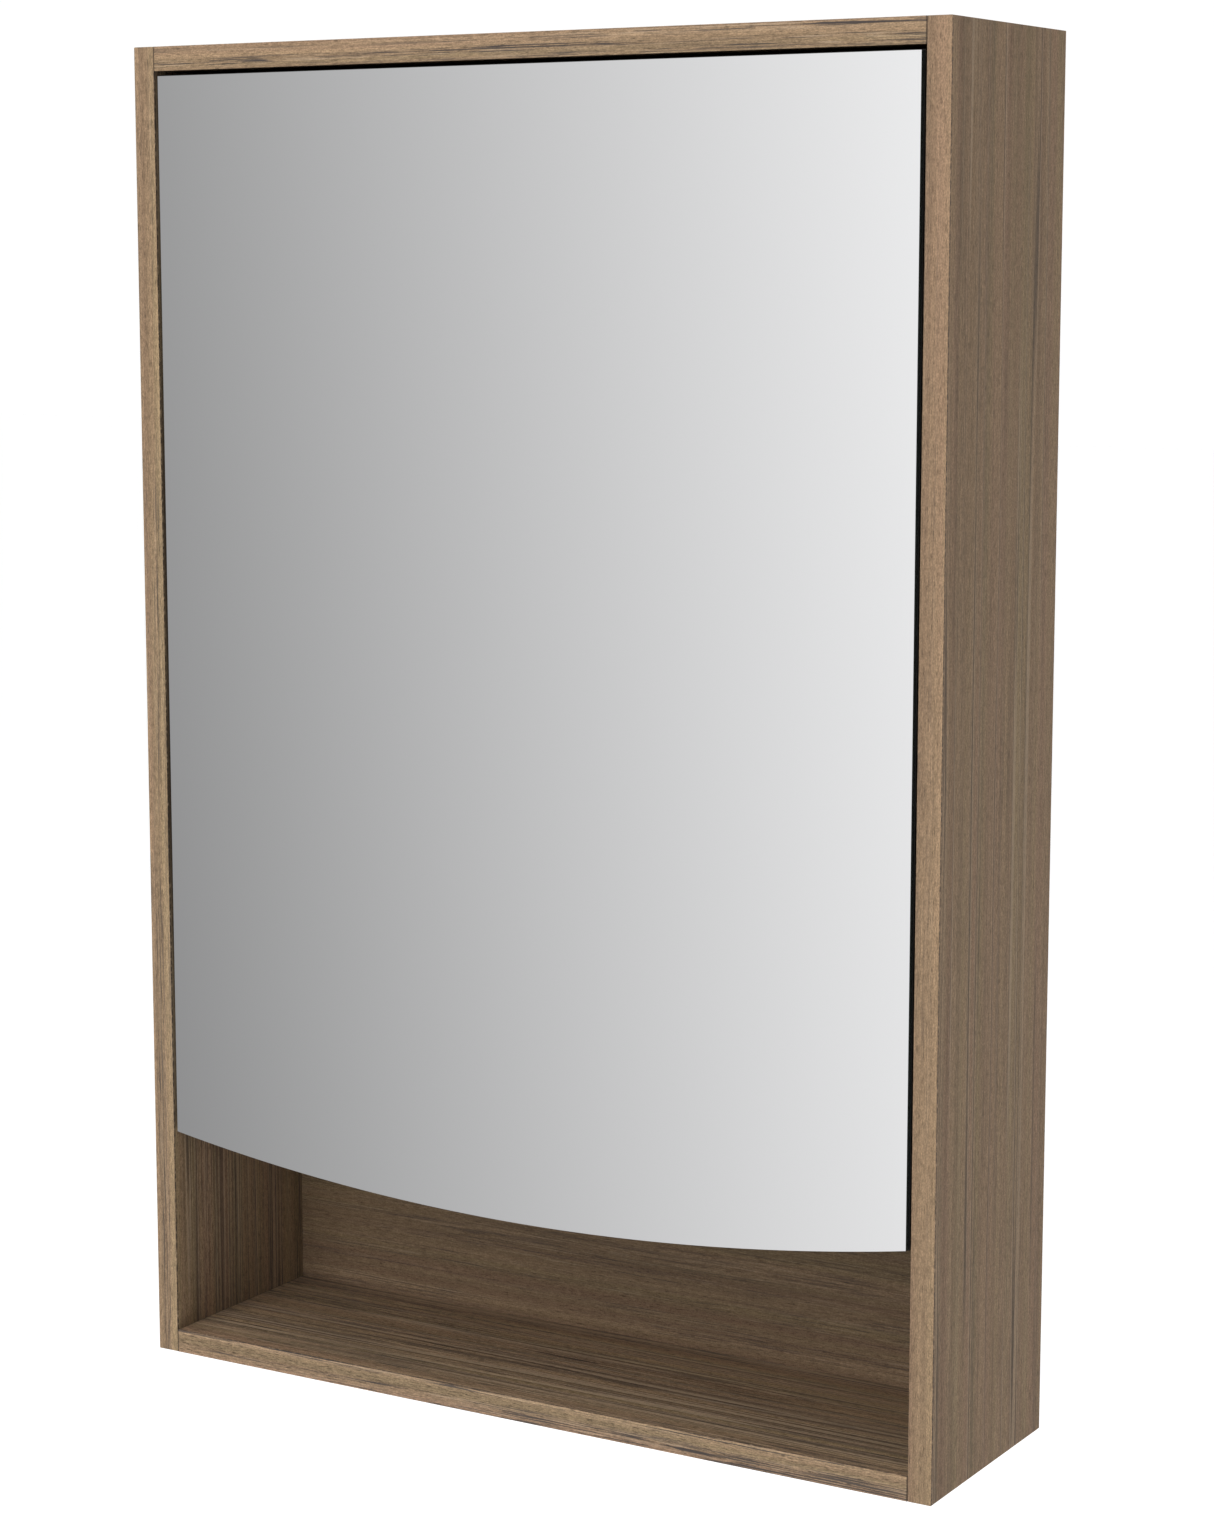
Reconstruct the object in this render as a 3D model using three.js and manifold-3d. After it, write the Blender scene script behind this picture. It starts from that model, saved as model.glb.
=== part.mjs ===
// Wall-hung medicine cabinet with a mirrored, arch-bottomed door above an open niche.
// Units are millimetres. +Z is up, the front faces -Y, and the origin is at the middle of the base.
import * as THREE from "three";
import { mergeVertices } from "three/addons/utils/BufferGeometryUtils.js";
import Module from "manifold-3d";

const wasm = await Module();
wasm.setup();

// ---------- driving dimensions ----------
const WIDTH = 600;
const HEIGHT = 900;
const DEPTH = 165;
const BOARD = 16;
const BACK_BOARD = 4;
const FRONT_TO_BACK_BOARD = 150;
const GROOVE = 6;

const DOOR_GAP = 2.7;
const MIRROR = 4;
const MIRROR_INSET = 0.7;
const DOOR_CORNER_Z = 159;
const DOOR_SAGITTA = 24.5;
const ARC_SEGMENTS = 32;

const DIVIDER_Z = 164;
const DIVIDER_RECESS = 22;
const SHELF_THICKNESS = 5;
const SHELF_UNDERSIDES = { lower: 410, upper: 645 };
const SHELF_RECESS = 36;
const HINGE_HEIGHTS = { upper: 780, lower: 260 };
const GAP = 0.3;

// ---------- planes worked out from them ----------
const FRONT = -DEPTH / 2;
const REAR = DEPTH / 2;
const SIDE = WIDTH / 2;
const INNER = SIDE - BOARD;
const CEILING = HEIGHT - BOARD;
const BACK_FACE = FRONT + FRONT_TO_BACK_BOARD;
const BACK_REAR = BACK_FACE + BACK_BOARD;
const DOOR_BACK = MIRROR + BOARD;
const BOTH_SIDES = { left: -1, right: 1 };

// ---------- materials ----------
function material(color, roughness, metalness = 0) {
  return new THREE.MeshStandardMaterial({ color, roughness, metalness });
}
const WOOD = material(0x9c8062, 0.55);
const MIRROR_GLASS = material(0xd8dadb, 0.03, 1);
const SHELF_GLASS = new THREE.MeshStandardMaterial({
  color: 0xbfd8d0,
  roughness: 0.05,
  transparent: true,
  opacity: 0.4,
});
const STEEL = material(0xb8b9ba, 0.3, 1);
const ZINC = material(0x9fa3a6, 0.45, 1);
const WHITE_PLASTIC = material(0xe6e5e0, 0.5);
const SOFT_PLASTIC = material(0xcfcfca, 0.7);
const BEECH = material(0xd0ac7c, 0.7);

// ---------- solid modelling ----------
function solid(geometry) {
  const bare = geometry.index ? geometry.toNonIndexed() : geometry.clone();
  bare.deleteAttribute("normal");
  bare.deleteAttribute("uv");
  const merged = mergeVertices(bare, 1e-4);
  return new wasm.Manifold(
    new wasm.Mesh({
      numProp: 3,
      vertProperties: merged.attributes.position.array,
      triVerts: new Uint32Array(merged.index.array),
    }),
  );
}

function geometryOf(body) {
  const mesh = body.getMesh();
  const geometry = new THREE.BufferGeometry();
  geometry.setAttribute("position", new THREE.BufferAttribute(mesh.vertProperties, 3));
  geometry.setIndex(new THREE.BufferAttribute(mesh.triVerts, 1));
  return geometry;
}

function join(pieces) {
  return pieces.map(solid).reduce((a, b) => a.add(b));
}

function carve(geometry, tools) {
  if (tools.length === 0) return geometry;
  return geometryOf(solid(geometry).subtract(join(tools)));
}

// A box between two corners.
function box(low, high) {
  const size = high.map((value, i) => value - low[i]);
  const geometry = new THREE.BoxGeometry(...size);
  return geometry.translate(...low.map((value, i) => value + size[i] / 2));
}

// A round bar from one end to the other along an axis, given its centre line and radius.
function bar(axis, from, to, centre, radius, sides = 16) {
  const geometry = new THREE.CylinderGeometry(radius, radius, to - from, sides);
  const middle = (from + to) / 2;
  if (axis === "x") return geometry.rotateZ(Math.PI / 2).translate(middle, ...centre);
  if (axis === "y") return geometry.translate(centre[0], middle, centre[1]);
  return geometry.rotateX(Math.PI / 2).translate(...centre, middle);
}

// An outline in the XY plane, extruded from one height to another along Z.
function prismZ(outline, low, high, curveSegments = 12) {
  const shape = outline instanceof THREE.Shape ? outline : new THREE.Shape(outline);
  const geometry = new THREE.ExtrudeGeometry(shape, {
    depth: high - low,
    bevelEnabled: false,
    curveSegments,
  });
  return geometry.translate(0, 0, low);
}

// An outline in the XZ plane, extruded from front to rear along Y.
function prismY(shape, front, rear, curveSegments) {
  const geometry = prismZ(shape, 0, rear - front, curveSegments);
  return geometry.rotateX(Math.PI / 2).translate(0, rear, 0);
}

// An outline in the YZ plane, extruded along X.
function prismX(outline, low, high) {
  const geometry = prismZ(outline, 0, high - low);
  geometry.rotateX(Math.PI / 2);
  return geometry.rotateZ(Math.PI / 2).translate(low, 0, 0);
}

function points(pairs) {
  return pairs.map(([x, y]) => new THREE.Vector2(x, y));
}

const cabinet = new THREE.Group();

function place(parent, name, geometry, finish, position = [0, 0, 0]) {
  const mesh = new THREE.Mesh(geometry, finish);
  mesh.name = name;
  mesh.position.set(...position);
  parent.add(mesh);
}

// A board, made in the cabinet's frame and placed by its low corner.
function board(name, low, high, tools, finish = WOOD) {
  const geometry = carve(box(low, high), tools);
  geometry.translate(...low.map((value) => -value));
  place(cabinet, name, geometry, finish, low);
}

// ---------- dowels ----------
const DOWEL = { radius: 4, inSide: 12, inPanel: 24, endPlay: 0.5 };
const DOWEL_ROWS = [
  { panel: "top_panel", z: HEIGHT - BOARD / 2 },
  { panel: "divider_panel", z: DIVIDER_Z + BOARD / 2 },
  { panel: "bottom_panel", z: BOARD / 2 },
];
const DOWEL_PLACES = { front: -45, rear: 45 };

// The span along X of a dowel or of its bore, on one side of the cabinet.
function dowelSpan(sign, play) {
  const outer = sign * (INNER + DOWEL.inSide - play);
  const inner = sign * (INNER - DOWEL.inPanel + play);
  return [Math.min(outer, inner), Math.max(outer, inner)];
}

function dowelBores(sign, rows) {
  return rows.flatMap((row) =>
    Object.values(DOWEL_PLACES).map((y) =>
      bar("x", ...dowelSpan(sign, 0), [y, row.z], DOWEL.radius + GAP),
    ),
  );
}

function addDowels() {
  for (const [side, sign] of Object.entries(BOTH_SIDES)) {
    for (const row of DOWEL_ROWS) {
      for (const [where, y] of Object.entries(DOWEL_PLACES)) {
        const name = `dowel_${row.panel.replace("_panel", "")}_${side}_${where}`;
        const [low, high] = dowelSpan(sign, DOWEL.endPlay);
        const dowel = bar("x", 0, high - low, [0, 0], DOWEL.radius, 12);
        place(cabinet, name, dowel, BEECH, [low, y, row.z]);
      }
    }
  }
}

// ---------- shelves and their pins ----------
const PIN = { radius: 2.5, inSide: 7, out: 9, halfWidth: 4.5, thickness: 5 };
const PIN_ROWS = { front: -30, rear: 50 };
const PIN_PITCH = 32;

function pinBores(sign) {
  const mouth = sign * (INNER - 1);
  const end = sign * (INNER + PIN.inSide + GAP);
  const span = [Math.min(mouth, end), Math.max(mouth, end)];
  return Object.values(SHELF_UNDERSIDES).flatMap((underside) =>
    Object.values(PIN_ROWS).flatMap((y) =>
      [-PIN_PITCH, 0, PIN_PITCH].map((step) =>
        bar("x", ...span, [y, underside - PIN.thickness / 2 + step], PIN.radius + GAP, 12),
      ),
    ),
  );
}

// A round peg in the side panel with a flat spoon under the shelf.
function pinGeometry(sign) {
  const peg = bar("x", -PIN.inSide, 1, [0, -PIN.thickness / 2], PIN.radius, 12);
  const spoon = box([0, -PIN.halfWidth, -PIN.thickness], [PIN.out, PIN.halfWidth, 0]);
  const geometry = geometryOf(join([peg, spoon]));
  return sign < 0 ? geometry : geometry.rotateZ(Math.PI);
}

function addShelves() {
  for (const [level, underside] of Object.entries(SHELF_UNDERSIDES)) {
    const low = [-INNER + 1, FRONT + SHELF_RECESS, underside];
    const high = [INNER - 1, BACK_FACE - 2, underside + SHELF_THICKNESS];
    board(`${level}_glass_shelf`, low, high, [], SHELF_GLASS);
    for (const [side, sign] of Object.entries(BOTH_SIDES)) {
      for (const [row, y] of Object.entries(PIN_ROWS)) {
        const name = `shelf_pin_${level}_${side}_${row}`;
        place(cabinet, name, pinGeometry(sign), STEEL, [sign * INNER, y, underside]);
      }
    }
  }
}

// ---------- hinges ----------
// Their frame: the left panel's inner face, the front plane and the hinge's height.
const CUP = { x: 24.2, radius: 17.5, depth: 11.5, wall: 1, rim: 1.2, rimRadius: 18.5 };
const CUP_SCREW = { x: CUP.x + 9.5, z: 22.5, shank: 1.7, head: 3.6, length: 10 };
const PLATE = { y: 57, wing: 2, block: 9, screwZ: 16, halfBlock: 7.5, rear: 84, front: 46 };
const PLATE_SCREW = { shank: 2.5, head: 4, length: 12 };
const LINK_PIN = 1.2;
const LINK_BORE = LINK_PIN + GAP;
const OUTER_LINK = { cup: [14.4, 16.3], arm: [34.5, 28.7], half: 1, eye: 2.7 };
const INNER_LINK = { cup: [20.7, 18], arm: [54, 27.5], half: 1.5, eye: 4.5, openBore: 3.3 };
const OPEN_EYE = [21.5, 16.4];
const LAYERS = { inner: 3.4, lugIn: 3.7, lugOut: 4.7, cheekIn: 5, cheekOut: 7.5, wallIn: 8, wallOut: 9.5 };

function cupBores(height) {
  const pocketFloor = DOOR_BACK - CUP.depth - GAP;
  const pilotFloor = DOOR_BACK - CUP_SCREW.length - GAP;
  const pocket = bar("y", pocketFloor, DOOR_BACK + 1, [CUP.x, height], CUP.radius + GAP, 40);
  const pilots = [-1, 1].map((sign) => {
    const centre = [CUP_SCREW.x, height + sign * CUP_SCREW.z];
    return bar("y", pilotFloor, DOOR_BACK + 1, centre, CUP_SCREW.shank + GAP, 12);
  });
  return [pocket, ...pilots];
}

function plateBores() {
  const floor = -INNER - PLATE_SCREW.length - GAP;
  return Object.values(HINGE_HEIGHTS).flatMap((height) =>
    [-1, 1].map((sign) => {
      const centre = [FRONT + PLATE.y, height + sign * PLATE.screwZ];
      return bar("x", floor, -INNER + 1, centre, PLATE_SCREW.shank + GAP, 12);
    }),
  );
}

// The outer link turns on two stubs in the cup's wall, the inner link on a pin between two lugs.
// Neither link's path crosses what carries the other.
function cupPins(floor) {
  const [u, v] = INNER_LINK.cup;
  const stubReach = Math.sqrt((CUP.radius - CUP.wall) ** 2 - (OUTER_LINK.cup[0] - CUP.x) ** 2) + CUP.wall / 2;
  const lug = points([
    [u - 2.6, floor], [u + 2.6, floor], [u + 2, v + 1], [u + 1, v + 2], [u - 1, v + 2], [u - 2, v + 1],
  ]);
  const onEachSide = [-1, 1].flatMap((sign) => {
    const span = (from, to) => [from, to].map((z) => sign * z).sort((a, b) => a - b);
    return [
      bar("z", ...span(LAYERS.lugOut, stubReach), OUTER_LINK.cup, LINK_PIN, 12),
      prismZ(lug, ...span(LAYERS.lugIn, LAYERS.lugOut)),
    ];
  });
  return [...onEachSide, bar("z", -LAYERS.lugOut, LAYERS.lugOut, INNER_LINK.cup, LINK_PIN, 12)];
}

// The round cup with its rim, two wings for screws, and what the links turn on.
function cupGeometry() {
  const floor = DOOR_BACK - CUP.depth;
  const inside = CUP.radius - CUP.wall;
  const rimTop = DOOR_BACK + CUP.rim;
  const bowl = new THREE.LatheGeometry(
    points([
      [0, floor],
      [CUP.radius, floor],
      [CUP.radius, DOOR_BACK],
      [CUP.rimRadius, DOOR_BACK],
      [CUP.rimRadius, rimTop],
      [inside, rimTop],
      [inside, floor + CUP.wall],
      [0, floor + CUP.wall],
    ]),
    40,
  ).translate(CUP.x, 0, 0);
  const wings = box([CUP_SCREW.x - 6, DOOR_BACK, -28], [CUP_SCREW.x + 6, rimTop, 28]);
  const bore = bar("y", floor + CUP.wall, rimTop + 1, [CUP.x, 0], inside, 40);
  const ring = solid(wings)
    .subtract(solid(bore))
    .add(solid(bowl));
  const screwHoles = [-1, 1].map((sign) => {
    const centre = [CUP_SCREW.x, sign * CUP_SCREW.z];
    return bar("y", DOOR_BACK - 1, rimTop + 1, centre, CUP_SCREW.shank + GAP, 12);
  });
  const halfNotch = LAYERS.cheekOut + 0.7;
  const notch = box([3, DOOR_BACK - 1.5, -halfNotch], [12, rimTop + 1, halfNotch]);
  const pins = join(cupPins(floor + CUP.wall / 2));
  return geometryOf(ring.add(pins).subtract(join([...screwHoles, notch])));
}

// The cranked arm: a channel whose walls hold the two link pins and straddle the plate's block.
function armGeometry() {
  const walls = [
    [30, 25], [31.5, 24.3], [56, 23.6], [59, 25], [60, 30], [56, 36], [40, 42], [24, 52],
    [13, 62], [13, PLATE.rear], [3, PLATE.rear], [3, 50], [12, 42], [27, 33],
  ];
  const hollow = [
    [-1, 90], [11.4, 90], [11.4, 61.3], [23, 50.7], [39.3, 40.6], [55, 34.6], [58.3, 29.8],
    [57, 20], [-1, 20],
  ];
  const channel = solid(prismZ(points(walls), -LAYERS.wallOut, LAYERS.wallOut)).subtract(
    solid(prismZ(points(hollow), -LAYERS.wallIn, LAYERS.wallIn)),
  );
  const reach = (LAYERS.wallIn + LAYERS.wallOut) / 2;
  const pins = [OUTER_LINK.arm, INNER_LINK.arm].map((centre) =>
    bar("z", -reach, reach, centre, LINK_PIN, 12),
  );
  return geometryOf(channel.add(join(pins)));
}

// The plate on the side panel: two wings for its screws and the block that the arm clips over.
function plateGeometry() {
  const wings = box([0, PLATE.y - 7, -24], [PLATE.wing, PLATE.y + 7, 24]);
  const block = box([0, PLATE.front, -PLATE.halfBlock], [PLATE.block, PLATE.rear - 2, PLATE.halfBlock]);
  const holes = [-1, 1].map((sign) =>
    bar("x", -1, PLATE.wing + 1, [PLATE.y, sign * PLATE.screwZ], PLATE_SCREW.shank + GAP, 12),
  );
  return geometryOf(join([wings, block]).subtract(join(holes)));
}

// A ribbon of even thickness along a plane curve, as an outline.
function ribbon(curve, half, steps) {
  const left = [];
  const right = [];
  for (let i = 0; i <= steps; i++) {
    const point = curve.getPoint(i / steps);
    const tangent = curve.getTangent(i / steps);
    left.push(new THREE.Vector2(point.x - tangent.y * half, point.y + tangent.x * half));
    right.push(new THREE.Vector2(point.x + tangent.y * half, point.y - tangent.x * half));
  }
  return [...left, ...right.reverse()];
}

// The outer link bows into the cup when the door is shut, so that it clears the cup's rim when it opens.
function outerLinkGeometry() {
  const { cup, arm, half, eye } = OUTER_LINK;
  const [start, end] = points([cup, arm]);
  const chord = end.clone().sub(start);
  const across = new THREE.Vector2(chord.y, -chord.x).normalize();
  const bow = (share, rise) => start.clone().addScaledVector(chord, share).addScaledVector(across, rise);
  const curve = new THREE.CubicBezierCurve(start, bow(1 / 3, 22), bow(2 / 3, -1), end);
  const outline = ribbon(curve, half, 14);
  const cheeks = [-1, 1].flatMap((sign) => {
    const low = Math.min(sign * LAYERS.cheekIn, sign * LAYERS.cheekOut);
    const high = Math.max(sign * LAYERS.cheekIn, sign * LAYERS.cheekOut);
    return [prismZ(outline, low, high), bar("z", low, high, cup, eye)];
  });
  const hub = bar("z", -LAYERS.cheekOut, LAYERS.cheekOut, arm, eye);
  const bores = [cup, arm].map((centre) =>
    bar("z", -LAYERS.cheekOut - 1, LAYERS.cheekOut + 1, centre, LINK_BORE, 12),
  );
  return geometryOf(join([...cheeks, hub]).subtract(join(bores)));
}

// The inner link is straight, and its bore in the cup is wide: that pivot is the open one.
function innerLinkGeometry() {
  const { arm, half, eye, openBore } = INNER_LINK;
  const curve = new THREE.LineCurve(...points([OPEN_EYE, arm]));
  const strap = prismZ(ribbon(curve, half, 1), -LAYERS.inner, LAYERS.inner);
  const eyes = [
    bar("z", -LAYERS.inner, LAYERS.inner, OPEN_EYE, eye, 20),
    bar("z", -LAYERS.inner, LAYERS.inner, arm, OUTER_LINK.eye),
  ];
  const bores = [
    bar("z", -LAYERS.inner - 1, LAYERS.inner + 1, OPEN_EYE, openBore, 20),
    bar("z", -LAYERS.inner - 1, LAYERS.inner + 1, arm, LINK_BORE, 12),
  ];
  return geometryOf(join([strap, ...eyes]).subtract(join(bores)));
}

// A pan-headed screw along an axis: the head's underside is at 0 and the shank runs to -length.
function screwGeometry(axis, { shank, head, length }, headHeight) {
  const body = bar(axis, -length, headHeight / 2, [0, 0], shank, 10);
  const cap = bar(axis, 0, headHeight, [0, 0], head, 16);
  return geometryOf(join([body, cap]));
}

function addHinges() {
  for (const [level, height] of Object.entries(HINGE_HEIGHTS)) {
    const hinge = new THREE.Group();
    hinge.position.set(-INNER, FRONT, height);
    cabinet.add(hinge);
    place(hinge, `${level}_hinge_cup`, cupGeometry(), STEEL);
    place(hinge, `${level}_hinge_arm`, armGeometry(), STEEL);
    place(hinge, `${level}_hinge_plate`, plateGeometry(), STEEL);
    place(hinge, `${level}_hinge_outer_link`, outerLinkGeometry(), STEEL);
    place(hinge, `${level}_hinge_inner_link`, innerLinkGeometry(), ZINC);
    for (const [end, sign] of Object.entries({ low: -1, high: 1 })) {
      const cupScrew = screwGeometry("y", CUP_SCREW, 1.8);
      const cupPlace = [CUP_SCREW.x, DOOR_BACK + CUP.rim, sign * CUP_SCREW.z];
      place(hinge, `${level}_cup_screw_${end}`, cupScrew, ZINC, cupPlace);
      const plateScrew = screwGeometry("x", PLATE_SCREW, 2);
      const platePlace = [PLATE.wing, PLATE.y, sign * PLATE.screwZ];
      place(hinge, `${level}_plate_screw_${end}`, plateScrew, ZINC, platePlace);
    }
  }
}

// ---------- door ----------
// The outline of the door, or of the mirror when it is inset: straight sides and top, and a bottom arc.
function doorOutline(inset) {
  const half = INNER - DOOR_GAP;
  const radius = (half ** 2 + DOOR_SAGITTA ** 2) / (2 * DOOR_SAGITTA);
  const centreZ = DOOR_CORNER_Z - DOOR_SAGITTA + radius;
  const side = half - inset;
  const top = CEILING - DOOR_GAP - inset;
  const arcRadius = radius - inset;
  const reach = Math.asin(side / arcRadius);
  const down = -Math.PI / 2;
  const shape = new THREE.Shape();
  shape.moveTo(side, top);
  shape.lineTo(-side, top);
  shape.absarc(0, centreZ, arcRadius, down - reach, down + reach, false);
  shape.closePath();
  return shape;
}

function addDoor() {
  const door = new THREE.Group();
  door.position.set(0, FRONT, 0);
  cabinet.add(door);
  const panel = prismY(doorOutline(0), MIRROR, DOOR_BACK, ARC_SEGMENTS);
  const bores = Object.values(HINGE_HEIGHTS).flatMap((height) =>
    cupBores(height).map((bore) => bore.translate(-INNER, 0, 0)),
  );
  place(door, "door_panel", carve(panel, bores), WOOD);
  place(door, "mirror", prismY(doorOutline(MIRROR_INSET), 0, MIRROR, ARC_SEGMENTS), MIRROR_GLASS);
}

// ---------- wall hangers ----------
const HOUSING = { width: 18, depth: 42, low: 818, high: 881, wall: 1.5 };
const HOOK = {
  z: 855,
  thickness: 3,
  halfWidth: 5,
  front: 46,
  lipFront: 76.5,
  rear: 79,
  lipLow: 844,
  tab: 869,
};
const HANGER_SCREW = { z: 863.5, shank: 2, head: 3.5, length: 26 };
const WALL_PLATE = { inner: 2, outer: 52, low: 806, thickness: 2 };
const HOOK_X = INNER - HOUSING.width / 2;

function hookNotch(sign) {
  const x = sign * HOOK_X;
  const low = [x - HOOK.halfWidth - 1, BACK_FACE - 2, HOOK.z - 2];
  const high = [x + HOOK.halfWidth + 1, BACK_REAR + 1, HOOK.z + HOOK.thickness + 2];
  return box(low, high);
}

// An open-fronted plastic box in the corner under the top panel, with a slot for the hook.
function housingGeometry(sign) {
  const { width, depth, low, high, wall } = HOUSING;
  const x = sign * HOOK_X;
  const front = BACK_FACE - depth;
  const shell = box([x - width / 2, front, low], [x + width / 2, BACK_FACE, high]);
  const hollow = box(
    [x - width / 2 + wall, front - 1, low + wall],
    [x + width / 2 - wall, BACK_FACE - wall, high - wall],
  );
  return carve(shell, [hollow, hookNotch(sign)]);
}

function coverGeometry(sign) {
  const { width, depth, low, high, wall } = HOUSING;
  const x = sign * HOOK_X;
  const front = BACK_FACE - depth;
  const lid = box([x - width / 2, front - wall - GAP, low], [x + width / 2, front - GAP, high]);
  const hole = bar("y", front - 5, front + 5, [x, HANGER_SCREW.z], HANGER_SCREW.head, 20);
  return carve(lid, [hole]);
}

// A flat hook with a turned-down lip behind the wall plate and a tab for its screw.
function hookGeometry(sign) {
  const top = HOOK.z + HOOK.thickness;
  const outline = points([
    [HOOK.front, HOOK.z], [HOOK.lipFront, HOOK.z], [HOOK.lipFront, HOOK.lipLow],
    [HOOK.rear, HOOK.lipLow], [HOOK.rear, top], [HOOK.front + 3, top],
    [HOOK.front + 3, HOOK.tab], [HOOK.front, HOOK.tab],
  ]);
  const x = sign * HOOK_X;
  const hook = prismX(outline, x - HOOK.halfWidth, x + HOOK.halfWidth);
  const radius = HANGER_SCREW.shank + GAP;
  const bore = bar("y", HOOK.front - 5, HOOK.front + 8, [x, HANGER_SCREW.z], radius, 12);
  return carve(hook, [bore]);
}

// The plate screwed to the wall: its upper strip stands forward, so that the hook's lip drops behind it.
function wallPlateGeometry(sign) {
  const { inner, outer, low, thickness } = WALL_PLATE;
  const strip = REAR - 9;
  const outline = points([
    [REAR, low], [REAR, 834], [strip + thickness, 841], [strip + thickness, HOOK.z - GAP],
    [strip, HOOK.z - GAP], [strip, 840], [REAR - thickness, 833], [REAR - thickness, low],
  ]);
  const ends = [sign * (INNER - inner), sign * (INNER - outer)];
  const plate = prismX(outline, Math.min(...ends), Math.max(...ends));
  const holes = [14, 38].map((step) =>
    bar("y", REAR - 10, REAR + 1, [sign * (INNER - inner - step), 820], 3, 16),
  );
  return carve(plate, holes);
}

function addHangers() {
  for (const [side, sign] of Object.entries(BOTH_SIDES)) {
    place(cabinet, `${side}_hanger_housing`, housingGeometry(sign), WHITE_PLASTIC);
    place(cabinet, `${side}_hanger_cover`, coverGeometry(sign), WHITE_PLASTIC);
    place(cabinet, `${side}_hanger_hook`, hookGeometry(sign), ZINC);
    place(cabinet, `${side}_wall_plate`, wallPlateGeometry(sign), ZINC);
    const screw = screwGeometry("y", HANGER_SCREW, 2).rotateZ(Math.PI);
    place(cabinet, `${side}_hanger_screw`, screw, ZINC, [sign * HOOK_X, HOOK.front - 6, HANGER_SCREW.z]);
  }
}

// ---------- carcass ----------
// The groove for the back board, all round the inside of the frame.
function backGroove() {
  const reach = INNER + GROOVE;
  return box([-reach, BACK_FACE, BOARD - GROOVE], [reach, BACK_REAR, CEILING + GROOVE]);
}

function addCarcass() {
  for (const [side, sign] of Object.entries(BOTH_SIDES)) {
    const x = [sign * INNER, sign * SIDE];
    const tools = [backGroove(), ...dowelBores(sign, DOWEL_ROWS), ...pinBores(sign)];
    if (sign < 0) tools.push(...plateBores());
    board(`${side}_side_panel`, [Math.min(...x), FRONT, 0], [Math.max(...x), REAR, HEIGHT], tools);
  }
  const spans = {
    top_panel: [[FRONT, REAR], [CEILING, HEIGHT]],
    divider_panel: [[FRONT + DIVIDER_RECESS, BACK_FACE], [DIVIDER_Z, DIVIDER_Z + BOARD]],
    bottom_panel: [[FRONT, REAR], [0, BOARD]],
  };
  for (const row of DOWEL_ROWS) {
    const [[front, rear], [low, high]] = spans[row.panel];
    const tools = [...dowelBores(-1, [row]), ...dowelBores(1, [row])];
    if (row.panel !== "divider_panel") tools.push(backGroove());
    board(row.panel, [-INNER, front, low], [INNER, rear, high], tools);
  }
  const edge = GROOVE - 0.5;
  const notches = [hookNotch(-1), hookNotch(1)];
  board(
    "back_panel",
    [-INNER - edge, BACK_FACE, BOARD - edge],
    [INNER + edge, BACK_REAR, CEILING + edge],
    notches,
  );
}

// ---------- door stops ----------
const BUMPER = { radius: 4, thickness: 1.7, xs: { middle: 0, right: 262 } };

function addBumpers() {
  const face = FRONT + DIVIDER_RECESS;
  for (const [where, x] of Object.entries(BUMPER.xs)) {
    const pad = bar("y", -BUMPER.thickness, 0, [0, 0], BUMPER.radius);
    place(cabinet, `door_bumper_${where}`, pad, SOFT_PLASTIC, [x, face, DIVIDER_Z + BOARD / 2]);
  }
}

addCarcass();
addDowels();
addShelves();
addDoor();
addHinges();
addHangers();
addBumpers();

export default cabinet;
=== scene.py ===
"""Looks for the wall-hung medicine cabinet: wood-grain boards, mirror door, glass shelves, hinges.

Everything is in metres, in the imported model's frame: +Z up, the front faces -Y. The CAD nodes keep their
places and meshes. They get softened edges and materials, and detailed screws replace the plain ones.
"""

import math

import bmesh
import bpy
from mathutils import Matrix, Vector


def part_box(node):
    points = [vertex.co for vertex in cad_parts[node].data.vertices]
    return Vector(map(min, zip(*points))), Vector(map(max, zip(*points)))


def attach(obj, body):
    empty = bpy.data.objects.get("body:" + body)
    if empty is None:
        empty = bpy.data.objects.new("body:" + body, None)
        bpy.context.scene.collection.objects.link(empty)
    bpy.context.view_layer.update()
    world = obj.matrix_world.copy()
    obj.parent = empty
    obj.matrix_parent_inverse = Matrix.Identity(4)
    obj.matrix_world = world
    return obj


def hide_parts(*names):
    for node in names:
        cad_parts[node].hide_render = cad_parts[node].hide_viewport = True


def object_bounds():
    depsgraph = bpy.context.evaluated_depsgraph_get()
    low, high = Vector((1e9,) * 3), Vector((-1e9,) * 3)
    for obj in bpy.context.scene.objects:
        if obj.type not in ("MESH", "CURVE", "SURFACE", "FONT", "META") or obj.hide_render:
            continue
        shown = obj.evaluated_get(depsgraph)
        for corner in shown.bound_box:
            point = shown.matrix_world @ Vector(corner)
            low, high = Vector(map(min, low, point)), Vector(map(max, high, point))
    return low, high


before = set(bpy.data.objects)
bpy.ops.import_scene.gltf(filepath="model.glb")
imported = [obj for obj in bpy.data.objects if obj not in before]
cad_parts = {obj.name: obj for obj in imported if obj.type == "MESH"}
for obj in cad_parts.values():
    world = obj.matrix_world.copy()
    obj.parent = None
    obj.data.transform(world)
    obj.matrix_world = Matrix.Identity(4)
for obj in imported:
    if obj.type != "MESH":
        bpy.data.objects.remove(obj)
CAD_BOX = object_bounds()

# ---------------------------------------------------------------- driving dimensions
MM = 0.001
AXIS_X = 0
AXIS_Z = 2
FRONT = CAD_BOX[0][1]
EDGE_BAND = 0.8 * MM
BOARD_EDGE = 0.35 * MM

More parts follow.
